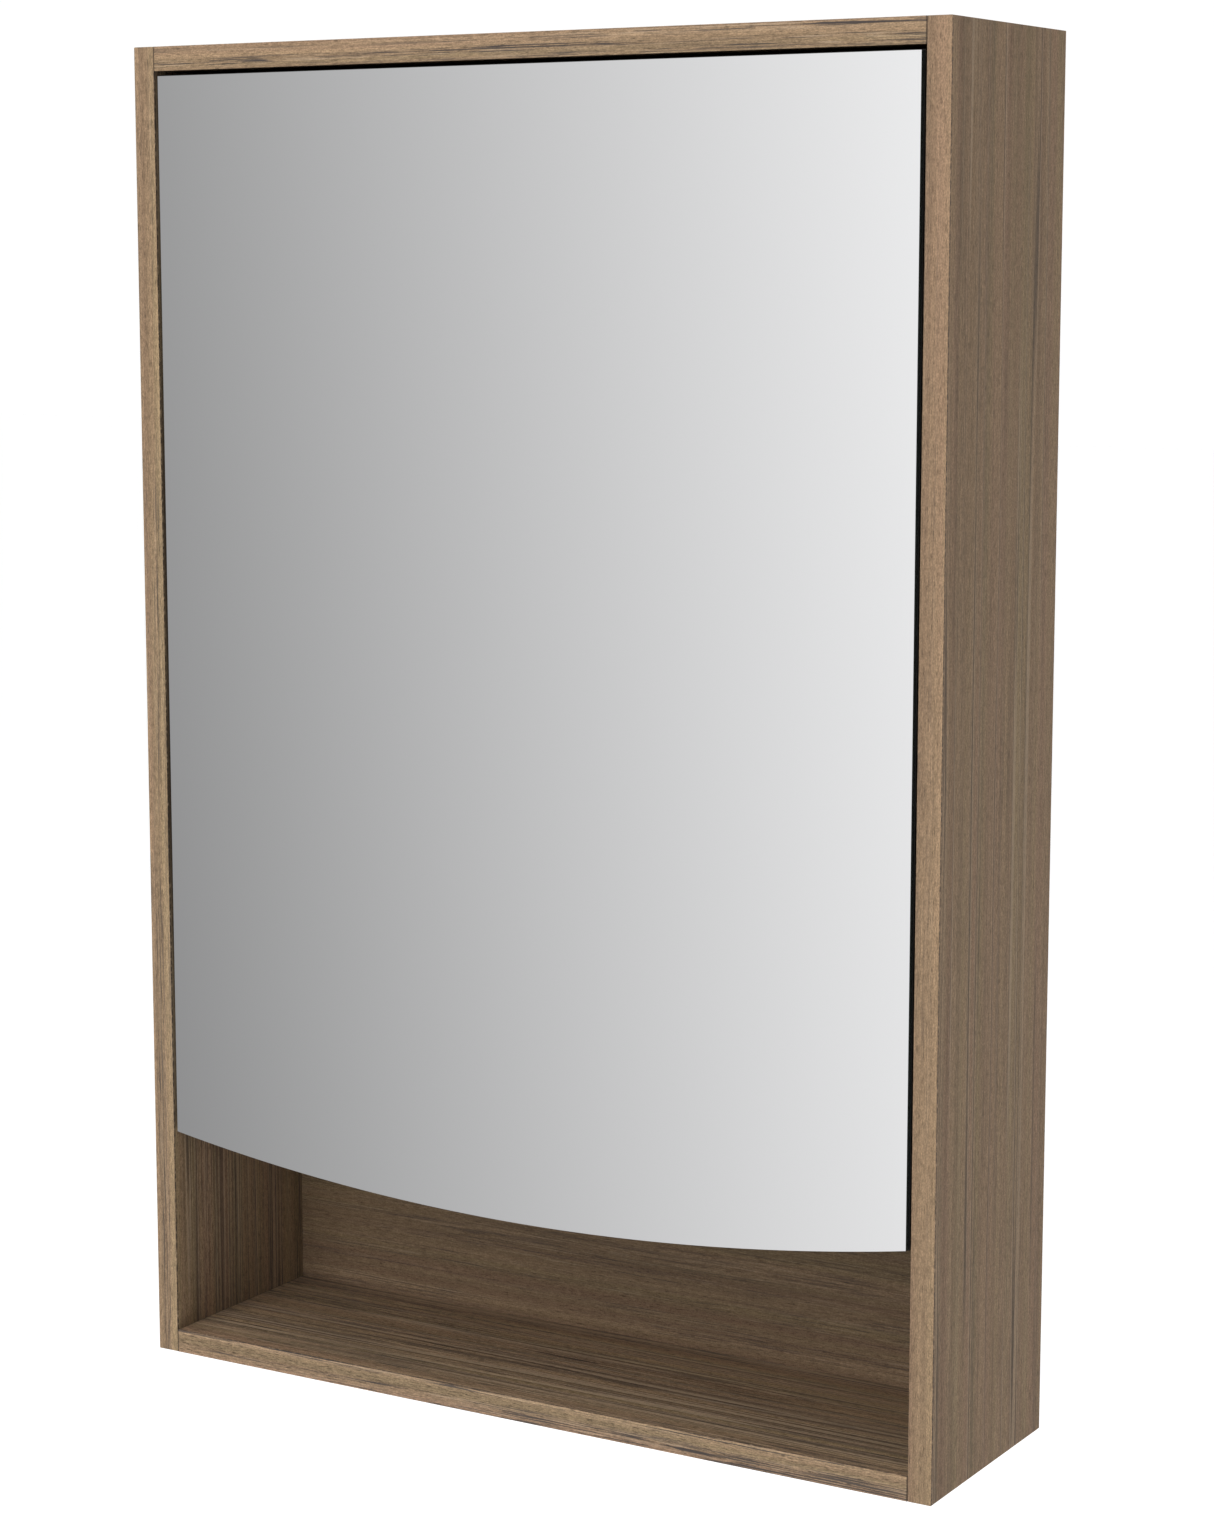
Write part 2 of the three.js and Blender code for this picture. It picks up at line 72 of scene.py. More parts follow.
# ---------------------------------------------------------------- camera
CAMERA_PLACE = (1.1519, -1.8965, 0.7597)
CAMERA_HEADING = 30.867
CAMERA_PITCH = -8.392
CAMERA_LENS = 80.22
CAMERA_SENSOR = 36


def add_camera():
    """A long lens in front of the cabinet and to its right, turned left and a little down."""
    data = bpy.data.cameras.new("photo_camera")
    data.lens = CAMERA_LENS
    data.sensor_width = CAMERA_SENSOR
    camera = bpy.data.objects.new("photo_camera", data)
    camera.location = CAMERA_PLACE
    camera.rotation_euler = (math.radians(90 + CAMERA_PITCH), 0, math.radians(CAMERA_HEADING))
    bpy.context.scene.collection.objects.link(camera)
    bpy.context.scene.camera = camera


# ---------------------------------------------------------------- node helpers
class Nodes:
    """A short way to write a node tree: one node per call, with numbers, colours or sockets as inputs."""

    def __init__(self, tree):
        self.tree = tree

    def add(self, kind, inputs=(), **settings):
        node = self.tree.nodes.new(kind)
        for key, value in settings.items():
            setattr(node, key, value)
        for key, value in dict(inputs).items():
            if isinstance(value, bpy.types.NodeSocket):
                self.feed(node, key, value)
            else:
                node.inputs[key].default_value = value
        return node

    def feed(self, node, name, value):
        self.tree.links.new(value, node.inputs[name])

    def place(self):
        """The shaded point in its object's coordinates, which are the frame's at rest."""
        return self.add("ShaderNodeTexCoord").outputs["Object"]

    def split(self, vector):
        return self.add("ShaderNodeSeparateXYZ", {0: vector}).outputs

    def math(self, operation, a, b=0.0):
        return self.add("ShaderNodeMath", {0: a, 1: b}, operation=operation).outputs[0]

    def ramp(self, value, low, high, out_low=0.0, out_high=1.0):
        """A smooth change from out_low, where the value is low, to out_high, where it is high."""
        node = self.add(
            "ShaderNodeMapRange",
            {"Value": value, "From Min": low, "From Max": high, "To Min": out_low, "To Max": out_high},
            interpolation_type="SMOOTHSTEP",
        )
        return node.outputs["Result"]

    def mix(self, factor, a, b, blend="MIX"):
        node = self.add("ShaderNodeMix", data_type="RGBA", blend_type=blend)
        for socket, value in ((node.inputs[0], factor), (node.inputs[6], a), (node.inputs[7], b)):
            if isinstance(value, bpy.types.NodeSocket):
                self.tree.links.new(value, socket)
            elif isinstance(value, (int, float)):
                socket.default_value = value
            else:
                socket.default_value = (*value, 1.0)
        return node.outputs[2]

    def noise(self, vector, scale=1.0, detail=2.0, roughness=0.5):
        node = self.add(
            "ShaderNodeTexNoise",
            {"Vector": vector, "Scale": scale, "Detail": detail, "Roughness": roughness},
        )
        return node.outputs["Fac"]

    def stretched(self, vector, scale, offset=(0, 0, 0)):
        node = self.add("ShaderNodeMapping", {"Vector": vector, "Scale": scale, "Location": offset})
        return node.outputs["Vector"]


def new_material(name, fixed=()):
    """A material with one Principled shader, and the sockets in fixed set to one value all over."""
    material = bpy.data.materials.new(name)
    material.use_nodes = True
    shader = material.node_tree.nodes["Principled BSDF"]
    for socket, value in dict(fixed).items():
        shader.inputs[socket].default_value = value
    return material, Nodes(material.node_tree), shader


def add_bump(nodes, shader, height, strength, distance):
    bump = nodes.add("ShaderNodeBump", {"Height": height, "Strength": strength, "Distance": distance})
    nodes.feed(shader, "Normal", bump.outputs["Normal"])


def facing(nodes, axis, low, high):
    """From 0 to 1 as the part of the surface's own normal along an axis goes from low to high."""
    normal = nodes.add("ShaderNodeTexCoord").outputs["Normal"]
    return nodes.ramp(nodes.split(normal)[axis], low, high)


def near_plane(nodes, value, plane, width):
    """1 where a value is at the plane, falling to 0 where it is a width away."""
    distance = nodes.math("ABSOLUTE", nodes.math("SUBTRACT", value, plane))
    return nodes.ramp(distance, 0.15 * width, width, 1.0, 0.0)


# ---------------------------------------------------------------- wood-grain melamine
WOOD_TONES = {
    "red": (0.248, 0.161, 0.101),
    "mid": (0.266, 0.180, 0.108),
    "olive": (0.262, 0.186, 0.106),
}
LINE_TONE = (0.058, 0.047, 0.042)
PALE_TONE = (0.42, 0.33, 0.235)
# Dark tone for the joint line where boards meet, which in the inside corners is painted shade.
JOINT_AND_SHADE_TONE = (0.03, 0.022, 0.017)
# Near-black painted shade for the door's front and edges, which sit in the shadowed gap round the door.
DOOR_EDGE_SHADE = (0.012, 0.011, 0.010)

# The layers of the wood figure, each a noise: its size across and along the grain, its detail, its
# roughness, and a step that sets it apart from the others. The broad stripes have their own sizes.
LAYERS = {
    "streaks": (1.7 * MM, 0.20, 4.0, 0.65, 4.9),
    "fibres": (0.60 * MM, 6 * MM, 3.0, 0.7, 13.1),
    "pores": (0.62 * MM, 6 * MM, 1.0, 0.5, 17.3),
    "specks": (0.60 * MM, 1.3 * MM, 1.0, 0.5, 61.3),
    "clusters": (6 * MM, 0.40, 2.0, 0.5, 41.9),
    "dashes": (0.78 * MM, 0.06, 2.0, 0.6, 47.1),
    "lines": (13 * MM, 3.0, 1.5, 0.5, 21.7),
    "line_breaks": (9 * MM, 0.30, 1.0, 0.5, 31.3),
}
# Wherever the slow noise called lines has one of these values, a hairline runs. Its strength is a
# constant, plus a part that grows with how streaky the board is.
HAIRLINES = ((0.5, 1.0, 0.0), (0.445, 0.0, 0.8), (0.565, 0.0, 0.6))
# How far the figure moves from one seed to the next, so that no two boards look alike.
SEED_STEP = (7.31, 3.77, 5.13)


def grain_scale(axis, across, along):
    """A mapping scale with features of one size across the grain and another along it, in metres."""
    scale = [1 / across] * 3
    scale[axis] = 1 / along
    return tuple(scale)


def wood_layers(nodes, place, axis, seed, band):
    """The board's noises by name. The whole figure wavers a little across the grain."""
    offset = tuple(seed * step for step in SEED_STEP)
    waver = nodes.noise(nodes.stretched(place, grain_scale(axis, 0.05, 0.3), offset), detail=1.0)
    shift = nodes.math("MULTIPLY", nodes.math("SUBTRACT", waver, 0.5), 3.0 * MM)
    push = nodes.add("ShaderNodeCombineXYZ", {k: shift for k in range(3) if k != axis}).outputs[0]
    wavy = nodes.add("ShaderNodeVectorMath", {0: place, 1: push}, operation="ADD").outputs[0]
    stripes = {"bands": (band, 2.0, 3.0, 0.5, 1.7), "hue": (1.1 * band, 1.8, 3.0, 0.5, 9.2)}
    layers = {}
    for name, (across, along, detail, roughness, step) in {**stripes, **LAYERS}.items():
        moved = tuple(value + step for value in offset)
        spread = nodes.stretched(wavy, grain_scale(axis, across, along), moved)
        layers[name] = nodes.noise(spread, 1.0, detail, roughness)
    return layers


def wood_tone(nodes, layers, contrast, tone):
    """The ground colour: stripes of slightly different hue, darkened by streaks, fibres and pores."""
    colour = nodes.mix(nodes.ramp(layers["hue"], 0.36, 0.52), WOOD_TONES["red"], WOOD_TONES["mid"])
    colour = nodes.mix(nodes.ramp(layers["hue"], 0.52, 0.66), colour, WOOD_TONES["olive"])
    banding = nodes.ramp(layers["bands"], 0.36, 0.64, -0.12, 0.12)
    shade = nodes.math("ADD", banding, nodes.ramp(layers["streaks"], 0.32, 0.68, 0.93, 1.08))
    shade = nodes.math("MULTIPLY", shade, nodes.ramp(layers["fibres"], 0.34, 0.66, 0.80, 1.15))
    shade = nodes.math("MULTIPLY", shade, nodes.ramp(layers["pores"], 0.58, 0.70, 1.0, 0.64))
    shade = nodes.math("ADD", nodes.math("MULTIPLY", shade, contrast * tone), (1.0 - contrast) * tone)
    shade = nodes.math("MULTIPLY", shade, nodes.ramp(layers["specks"], 0.34, 0.66, 0.82, 1.15))
    grey = nodes.add("ShaderNodeCombineColor", {k: shade for k in range(3)}).outputs[0]
    return nodes.mix(1.0, colour, grey, "MULTIPLY")


def with_dashes(nodes, colour, layers, streaky):
    """Adds thin dark dashes, gathered in bands, with a few pale ones between them."""
    gathered = nodes.math("MULTIPLY", nodes.ramp(layers["clusters"], 0.42, 0.60), streaky)
    dark = nodes.math("MULTIPLY", nodes.ramp(layers["dashes"], 0.51, 0.60), gathered)
    faint = nodes.math("MULTIPLY", gathered, 0.35)
    pale = nodes.math("MULTIPLY", nodes.ramp(layers["dashes"], 0.44, 0.34), faint)
    return nodes.mix(dark, nodes.mix(pale, colour, PALE_TONE), LINE_TONE)


def with_hairlines(nodes, colour, layers, streaky, front):
    """Adds long dark hairlines, each with a pale one beside it. They come and go, and fade in front."""
    unbroken = nodes.ramp(layers["line_breaks"], 0.34, 0.52)
    there = nodes.math("MULTIPLY", unbroken, nodes.ramp(front, 0, 1, 1.0, 0.15))
    for value, constant, growing in HAIRLINES:
        strength = constant + growing * streaky
        dark = nodes.math("MULTIPLY", near_plane(nodes, layers["lines"], value, 0.020), there)
        pale = nodes.math("MULTIPLY", near_plane(nodes, layers["lines"], value + 0.028, 0.020), there)
        colour = nodes.mix(nodes.math("MULTIPLY", pale, 0.34 * strength), colour, PALE_TONE)
        colour = nodes.mix(nodes.math("MULTIPLY", dark, 0.62 * strength), colour, LINE_TONE)
    return colour


def with_band_joint(nodes, colour, place, front):
    """Adds the joint of the front edge band: a chipped hairline just behind the front."""
    chips = nodes.noise(place, 330, 2.0)
    joint = near_plane(nodes, nodes.split(place)["Y"], FRONT + EDGE_BAND, 1.2 * MM)
    joint = nodes.math("MULTIPLY", joint, nodes.math("SUBTRACT", 1.0, front))
    gaps = nodes.math("MULTIPLY", joint, nodes.ramp(chips, 0.44, 0.56, 0.15, 0.85))
    glints = nodes.math("MULTIPLY", joint, nodes.ramp(chips, 0.42, 0.34, 0.0, 0.6))
    return nodes.mix(glints, nodes.mix(gaps, colour, LINE_TONE), PALE_TONE)


def with_butt_joints_and_corner_shade(nodes, colour, place, board_ends):
    """Adds the dark line where a panel's ends meet the side panels: a real joint on the front edge, and
    painted shade in the inside corners.
    """
    from_middle = nodes.math("ABSOLUTE", nodes.split(place)["X"])
    corner_shade_and_joint = near_plane(nodes, from_middle, board_ends, 1.3 * MM)
    return nodes.mix(nodes.math("MULTIPLY", corner_shade_and_joint, 0.85), colour, JOINT_AND_SHADE_TONE)


def chipboard(nodes, place):
    """The raw core of a board: pale and dark wood chips pressed together."""
    chips = nodes.add("ShaderNodeTexVoronoi", {"Vector": place, "Scale": 620}).outputs["Color"]
    chip = nodes.add("ShaderNodeSeparateColor", {0: chips}).outputs[0]
    fine = nodes.noise(place, 1800, 3.0)
    tone = nodes.mix(chip, (0.30, 0.20, 0.115), (0.52, 0.39, 0.25))
    return nodes.mix(nodes.ramp(fine, 0.42, 0.62, 0.0, 0.5), tone, (0.17, 0.11, 0.065))


def hardboard(nodes, place):
    """The plain rear of the thin back board: brown pressed fibre with a fine mottle."""
    mottle = nodes.noise(place, 260, 5.0, 0.7)
    return nodes.mix(nodes.ramp(mottle, 0.35, 0.65), (0.20, 0.125, 0.072), (0.285, 0.185, 0.108))


def wood_material(
    name, axis, seed, streaky, contrast=1.0, tone=1.0, band=9 * MM, board_ends=None, rear=chipboard
):
    """Long straight stripes along one axis, with clusters of thin dark streaks, fine fibres and pores.

    streaky scales the dark streaks, contrast the rest of the figure, tone the brightness, and band the
    width of the broad stripes. board_ends is the |x| at which a panel meets the sides, where a dark joint
    line runs that is painted shade in the inside corners. rear is the bare core that shows on the faces
    turned to the wall. Without a rear the board is a door: its inner face has the figure, and its front
    and edges are near-black painted shade, the shadow in the gap round the door.
    """
    material, nodes, shader = new_material(name, {"Specular IOR Level": 0.16})
    place = nodes.place()
    front = facing(nodes, "Y", -0.6, -0.9)
    turned_back = facing(nodes, "Y", 0.6, 0.9)
    layers = wood_layers(nodes, place, axis, seed, band)
    colour = wood_tone(nodes, layers, contrast, tone)
    colour = with_dashes(nodes, colour, layers, streaky)
    colour = with_hairlines(nodes, colour, layers, streaky, front)
    colour = with_band_joint(nodes, colour, place, front)
    if board_ends:
        colour = with_butt_joints_and_corner_shade(nodes, colour, place, board_ends)
    if rear:
        colour = nodes.mix(turned_back, colour, rear(nodes, place))
    else:
        # A door's front and edges get the near-black painted shade; only its inner face has the wood
        # figure.
        colour = nodes.mix(turned_back, DOOR_EDGE_SHADE, colour)
    nodes.feed(shader, "Base Color", colour)
    nodes.feed(shader, "Roughness", nodes.ramp(layers["fibres"], 0.3, 0.7, 0.58, 0.48))
    raised = nodes.math("MULTIPLY", layers["fibres"], 0.6)
    height = nodes.math("SUBTRACT", raised, nodes.math("MULTIPLY", layers["pores"], 0.4))
    add_bump(nodes, shader, height, 0.3, 0.12 * MM)
    return material


def beech_material():
    """Fluted dowels: pale wood with short flecks, and grooves along X."""
    material, nodes, shader = new_material("beech", {"Roughness": 0.68})
    place = nodes.place()
    grain = nodes.noise(nodes.stretched(place, (60, 1400, 1400)), detail=3.0)
    flecks = nodes.noise(nodes.stretched(place, (300, 2200, 2200), (3, 1, 2)), detail=1.0)
    tone = nodes.mix(nodes.ramp(grain, 0.3, 0.7), (0.50, 0.33, 0.18), (0.66, 0.47, 0.28))
    tone = nodes.mix(nodes.ramp(flecks, 0.60, 0.70, 0.0, 0.6), tone, (0.30, 0.17, 0.08))
    nodes.feed(shader, "Base Color", tone)
    flutes = nodes.noise(nodes.stretched(place, (4, 1100, 1100)), detail=0.0)
    add_bump(nodes, shader, flutes, 0.6, 0.4 * MM)
    return material


# ---------------------------------------------------------------- glass and mirror
def mirror_material():
    """Silvered on its front face, and dark float glass on its ground edges."""
    material, nodes, shader = new_material("mirror_glass")
    place = nodes.place()
    silver = facing(nodes, "Y", -0.30, -0.45)
    marks = nodes.noise(place, 900, 3.0)
    edge = nodes.mix(nodes.ramp(marks, 0.35, 0.65), (0.020, 0.026, 0.026), (0.032, 0.041, 0.040))
    nodes.feed(shader, "Base Color", nodes.mix(silver, edge, (0.902, 0.904, 0.912)))
    nodes.feed(shader, "Metallic", silver)
    haze = nodes.noise(nodes.stretched(place, (90, 90, 2.5)), detail=3.0)
    smooth = nodes.ramp(haze, 0.3, 0.7, 0.010, 0.030)
    rough = nodes.math("ADD", smooth, nodes.ramp(silver, 0, 1, 0.25, 0.0))
    nodes.feed(shader, "Roughness", rough)
    return material


def shelf_glass_material():
    """Clear float glass, greener through its polished edges, with faint wiping marks."""
    material, nodes, shader = new_material("shelf_glass", {"IOR": 1.5})
    place = nodes.place()
    face = nodes.math("MAXIMUM", facing(nodes, "Z", 0.5, 0.8), facing(nodes, "Z", -0.5, -0.8))
    nodes.feed(shader, "Base Color", nodes.mix(face, (0.30, 0.62, 0.50), (0.94, 0.985, 0.97)))
    nodes.feed(shader, "Transmission Weight", nodes.ramp(face, 0, 1, 0.55, 1.0))
    smears = nodes.noise(nodes.stretched(place, (14, 30, 30)), detail=4.0)
    rough = nodes.math("ADD", nodes.ramp(smears, 0.45, 0.75, 0.0, 0.07), nodes.ramp(face, 0, 1, 0.06, 0.0))
    nodes.feed(shader, "Roughness", rough)
    return material


# ---------------------------------------------------------------- metal and plastic
def scaled(colour, factor):
    return tuple(factor * value for value in colour)


def metal_material(name, colour, roughness, worn):
    """Plated steel: a slightly cloudy plating, fine scratches, and duller rubbed patches."""
    material, nodes, shader = new_material(name, {"Metallic": 1.0})
    place = nodes.place()
    cloud = nodes.noise(place, 190, 3.0)
    scratch = nodes.noise(nodes.stretched(place, (2600, 2600, 260)), detail=2.0)
    rubbed = nodes.ramp(nodes.noise(place, 70, 4.0, 0.7), 0.52, 0.68, 0.0, worn)
    tone = nodes.mix(nodes.ramp(cloud, 0.3, 0.7), scaled(colour, 0.84), colour)
    nodes.feed(shader, "Base Color", nodes.mix(rubbed, tone, scaled(colour, 0.62)))
    rough = nodes.math("ADD", nodes.ramp(scratch, 0.3, 0.7, roughness - 0.05, roughness + 0.07), rubbed)
    nodes.feed(shader, "Roughness", nodes.math("MINIMUM", rough, 0.8))
    add_bump(nodes, shader, scratch, 0.2, 0.03 * MM)
    return material


def plastic_material(name, colour, roughness, transmission=0.0):
    """Moulded plastic with a fine spark-eroded texture and a slight drift in colour."""
    material, nodes, shader = new_material(name, {"Transmission Weight": transmission})
    place = nodes.place()
    speckle = nodes.noise(place, 2400, 2.0)
    drift = nodes.noise(place, 45, 3.0)
    nodes.feed(shader, "Base Color", nodes.mix(nodes.ramp(drift, 0.3, 0.7), scaled(colour, 0.92), colour))
    nodes.feed(shader, "Roughness", nodes.ramp(speckle, 0.3, 0.7, roughness - 0.05, roughness + 0.08))
    add_bump(nodes, shader, speckle, 0.25, 0.05 * MM)
    return material


# ---------------------------------------------------------------- dressing the CAD nodes
def soften(node, width):
    """Rounds a CAD node's edges with modifiers, which leave its mesh as it is."""
    weld = node.modifiers.new("weld", "WELD")
    weld.merge_threshold = 0.002 * MM
    bevel = node.modifiers.new("edge", "BEVEL")
    bevel.width = width
    bevel.segments = 2
    bevel.limit_method = "ANGLE"
    bevel.angle_limit = math.radians(40)


def dress(names, material, edge):
    for name in names:
        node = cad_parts[name]
        node.data.materials.clear()
        node.data.materials.append(material)
        soften(node, edge)


def starting(*starts):
    """The CAD nodes whose name starts with one of these."""
    return [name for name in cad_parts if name.startswith(starts)]


def ending(*endings):
    """The CAD nodes whose name ends in one of these."""
    return [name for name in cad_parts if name.endswith(endings)]


def dress_boards():
    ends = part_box("bottom_panel")[1].x
    boards = {
        "left_side_panel": wood_material("wood_left", AXIS_Z, 1, 0.8, contrast=1.2, tone=0.98),
        "right_side_panel": wood_material("wood_right", AXIS_Z, 2, 0.3, tone=0.99, band=15 * MM),
        "top_panel": wood_material("wood_top", AXIS_X, 3, 1.2, contrast=1.15, board_ends=ends),
        "bottom_panel": wood_material("wood_bottom", AXIS_X, 4, 1.3, contrast=1.5, board_ends=ends),
        "divider_panel": wood_material("wood_divider", AXIS_X, 5, 0.8, contrast=1.1, board_ends=ends),
        # The back's tone of 0.76 is painted shade: it darkens the niche's back wall, which gets less light
        # deep in the recess.
        "back_panel": wood_material("wood_back", AXIS_X, 15, 0.6, tone=0.76, rear=hardboard),
        "door_panel": wood_material("wood_door", AXIS_Z, 7, 0.3, rear=None),
    }
    for board, material in boards.items():
        dress([board], material, BOARD_EDGE)


def dress_fittings():
    nickel = metal_material("nickel_steel", (0.76, 0.745, 0.71), roughness=0.34, worn=0.10)
    zinc = metal_material("zinc_steel", (0.56, 0.575, 0.60), roughness=0.36, worn=0.25)
    white = plastic_material("white_plastic", (0.78, 0.775, 0.75), roughness=0.42)
    soft = plastic_material("soft_plastic", (0.80, 0.81, 0.80), roughness=0.35, transmission=0.55)
    dress(["mirror"], mirror_material(), 0.35 * MM)
    dress(ending("_glass_shelf"), shelf_glass_material(), 0.6 * MM)
    dress(starting("dowel_"), beech_material(), 0.4 * MM)
    dress(starting("shelf_pin_"), nickel, 0.25 * MM)
    dress(ending("_hinge_cup", "_hinge_arm", "_hinge_plate", "_outer_link"), nickel, 0.2 * MM)
    dress(ending("_inner_link"), zinc, 0.1 * MM)
    add_screws(zinc)
    dress(ending("_hanger_housing", "_hanger_cover"), white, 0.4 * MM)
    dress(ending("_hanger_hook", "_wall_plate"), zinc, 0.2 * MM)
    dress(starting("door_bumper"), soft, 0.4 * MM)


# ---------------------------------------------------------------- screws
# The kinds of screw, by a part of the CAD node's name: the way the head points, the body it moves
# with, the height of its head and the radius of its shank.
SCREWS = {
    "_cup_screw_": {"up": (0, 1, 0), "body": "door", "head": 1.8 * MM, "shank": 1.7 * MM},
    "_plate_screw_": {"up": (1, 0, 0), "body": "cabinet", "head": 2.0 * MM, "shank": 2.5 * MM},
    "_hanger_screw": {"up": (0, -1, 0), "body": "cabinet", "head": 2.0 * MM, "shank": 2.0 * MM},
}
SCREW_SIDES = 24


def skin(mesh, lower, upper):
    """Joins two loops of the same number of vertices with quads."""
    for k in range(len(lower)):
        after = (k + 1) % len(lower)
        mesh.faces.new((lower[k], lower[after], upper[after], upper[k]))


def screw_mesh(name, radius, head, shank, length):
    """A pan-headed screw with a cross recess. Its axis is +Z and the underside of its head is at 0."""
    mesh = bmesh.new()
    turns = [2 * math.pi * k / SCREW_SIDES for k in range(SCREW_SIDES)]
    profile = (
        (0.5 * shank, -length),
        (shank, 1.5 * shank - length),
        (shank, 0.0),
        (radius, 0.0),
        (radius, 0.45 * head),
        (0.88 * radius, 0.82 * head),
        (0.66 * radius, head),
    )
    rings = [[mesh.verts.new((r * math.cos(t), r * math.sin(t), z)) for t in turns] for r, z in profile]
    for lower, upper in zip(rings, rings[1:]):
        skin(mesh, lower, upper)
    mesh.faces.new(rings[0])

    # The recess is a cross that narrows towards its floor.
    slot = 0.13 * radius
    tip = 0.52 * radius
    quarter = [(tip, -slot), (tip, slot), (slot, slot)]
    cross = [Matrix.Rotation(k * math.pi / 2, 2) @ Vector(point) for k in range(4) for point in quarter]
    rim = [mesh.verts.new((point.x, point.y, head)) for point in cross]
    recess = [mesh.verts.new((0.6 * point.x, 0.6 * point.y, 0.3 * head)) for point in cross]
    skin(mesh, recess, rim)
    mesh.faces.new(recess)
    crown = [mesh.edges.get((loop[k - 1], loop[k])) for loop in (rings[-1], rim) for k in range(len(loop))]
    bmesh.ops.triangle_fill(mesh, edges=crown, use_beauty=True)

    bmesh.ops.recalc_face_normals(mesh, faces=mesh.faces)
    data = bpy.data.meshes.new(name)
    mesh.to_mesh(data)
    mesh.free()
    data.shade_smooth()
    data.set_sharp_from_angle(angle=math.radians(35))
    return data


def add_screws(material):
    """Screws with a cross recess, each in the place of a plain CAD one and of its size."""
    for kind, form in SCREWS.items():
        up = Vector(form["up"])
        body = form["body"]
        head = form["head"]
        for node in [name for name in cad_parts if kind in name]:
            low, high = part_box(node)
            size = high - low
            length = abs(size.dot(up))
            data = screw_mesh("crossed_" + node, min(size) / 2, head, form["shank"], length - head)
            seat = (low + high) / 2 + up * (length / 2 - head)
            data.transform(Matrix.Translation(seat) @ up.to_track_quat("Z", "Y").to_matrix().to_4x4())
            data.materials.append(material)
            screw = bpy.data.objects.new("crossed_" + node, data)
            bpy.context.scene.collection.objects.link(screw)
            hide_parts(node)
            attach(screw, body)


# ---------------------------------------------------------------- stage and light
FLOOR_Z = -1.1
FLOOR_REACH = 30
DOME_RADIUS = 45
WHITE = 1.02

# Directions round the cabinet are in degrees from -Y, positive towards -X. In front the surround fades
# towards the left, which the mirror shows, and it is brighter higher up. It is dim at the right.
FADE = {"start": 10, "end": 50, "bright": 1.31, "dim": 0.11, "rise": 0.22, "most": 0.95}
RIGHT_SIDE = {"start": -75, "end": -10, "dim": 0.26}
WHITE_FROM_LEFT = (88, 125)
WHITE_FROM_RIGHT = (-150, -175)

LIGHTS = {
    "key": {"place": (-0.1, -3.4, 2.0), "aim": (0, 0, 0.4), "size": (2.4, 2.0), "power": 68},
    "overhead": {"place": (-0.6, -0.4, 4.0), "aim": (-0.2, 0.2, 0), "size": (3.0, 3.0), "power": 60},
}


def add_floor():
    mesh = bpy.data.meshes.new("floor")
    corners = [(-1, -1), (1, -1), (1, 1), (-1, 1)]
    places = [(FLOOR_REACH * x, FLOOR_REACH * y, FLOOR_Z) for x, y in corners]
    mesh.from_pydata(places, [], [(0, 1, 2, 3)])
    floor = bpy.data.objects.new("floor", mesh)
    bpy.context.scene.collection.objects.link(floor)
    fixed = {"Roughness": 0.9, "Emission Color": (1, 1, 1, 1), "Emission Strength": 0.45}
    material, nodes, shader = new_material("pale_floor", fixed)
    tone = nodes.mix(nodes.noise(nodes.place(), 40, 3.0), (0.90, 0.90, 0.90), (0.94, 0.94, 0.94))
    nodes.feed(shader, "Base Color", tone)
    mesh.materials.append(material)
    floor.visible_glossy = False


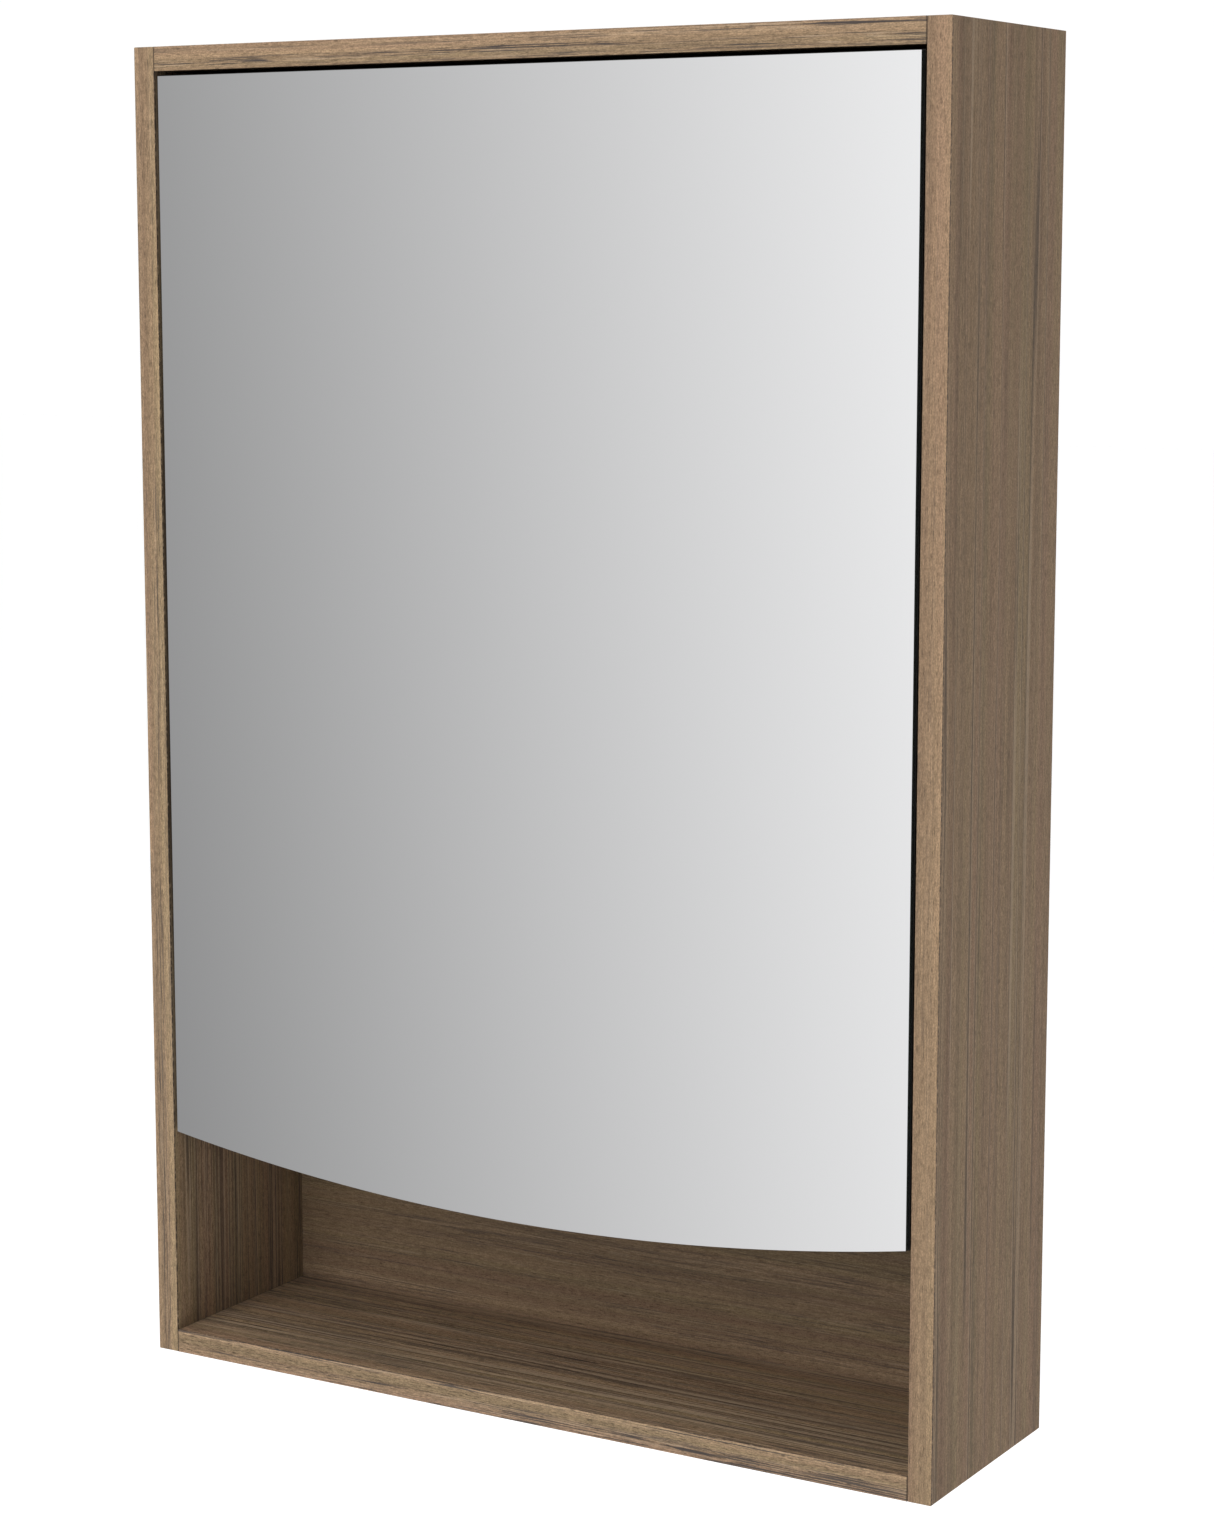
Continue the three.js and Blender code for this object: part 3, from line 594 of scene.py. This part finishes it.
def add_backdrop():
    """A white dome that lights nothing: it keeps the surround plain behind the cabinet from every side."""
    ball = bmesh.new()
    bmesh.ops.create_uvsphere(ball, u_segments=48, v_segments=24, radius=DOME_RADIUS)
    mesh = bpy.data.meshes.new("backdrop")
    ball.to_mesh(mesh)
    ball.free()
    backdrop = bpy.data.objects.new("backdrop", mesh)
    bpy.context.scene.collection.objects.link(backdrop)
    fixed = {
        "Base Color": (0, 0, 0, 1),
        "Specular IOR Level": 0.0,
        "Emission Color": (1, 1, 1, 1),
        "Emission Strength": WHITE,
    }
    mesh.materials.append(new_material("white_backdrop", fixed)[0])
    backdrop.visible_diffuse = False
    backdrop.visible_glossy = False
    backdrop.visible_shadow = False


def add_world():
    """A white surround behind the cabinet, darker at its sides; in front it fades towards the left."""
    world = bpy.data.worlds.new("studio")
    world.use_nodes = True
    bpy.context.scene.world = world
    nodes = Nodes(world.node_tree)
    background = world.node_tree.nodes["Background"]
    parts = nodes.split(nodes.add("ShaderNodeTexCoord").outputs["Generated"])
    leftwards = nodes.math("MULTIPLY", parts["X"], -1.0)
    forwards = nodes.math("MULTIPLY", parts["Y"], -1.0)
    degrees = nodes.math("MULTIPLY", nodes.math("ARCTAN2", leftwards, forwards), 180 / math.pi)
    faded = nodes.ramp(degrees, FADE["start"], FADE["end"], FADE["bright"], FADE["dim"])
    faded = nodes.math("ADD", faded, nodes.math("MULTIPLY", parts["Z"], FADE["rise"]))
    lit = nodes.ramp(degrees, RIGHT_SIDE["start"], RIGHT_SIDE["end"], RIGHT_SIDE["dim"], 1.0)
    ahead = nodes.math("MULTIPLY", lit, nodes.math("MINIMUM", faded, FADE["most"]))
    left = nodes.ramp(degrees, *WHITE_FROM_LEFT)
    right = nodes.ramp(degrees, *WHITE_FROM_RIGHT)
    behind = nodes.math("MULTIPLY", nodes.math("MAXIMUM", left, right), WHITE)
    nodes.feed(background, "Strength", nodes.math("MAXIMUM", ahead, behind))
    background.inputs["Color"].default_value = (1.0, 1.0, 1.0, 1)


def add_light(name, place, aim, size, power):
    data = bpy.data.lights.new(name, "AREA")
    data.shape = "RECTANGLE"
    data.size, data.size_y = size
    data.energy = power
    light = bpy.data.objects.new(name, data)
    light.location = place
    light.rotation_euler = (Vector(place) - Vector(aim)).to_track_quat("Z", "Y").to_euler()
    light.visible_glossy = False
    light.visible_camera = False
    bpy.context.scene.collection.objects.link(light)


def add_lights():
    for name, light in LIGHTS.items():
        add_light(name, **light)


# ---------------------------------------------------------------- the scene
add_camera()
add_floor()
add_backdrop()
add_world()
add_lights()
dress_boards()
dress_fittings()

bpy.context.scene.view_settings.view_transform = "Standard"
bpy.context.scene.view_settings.look = "None"
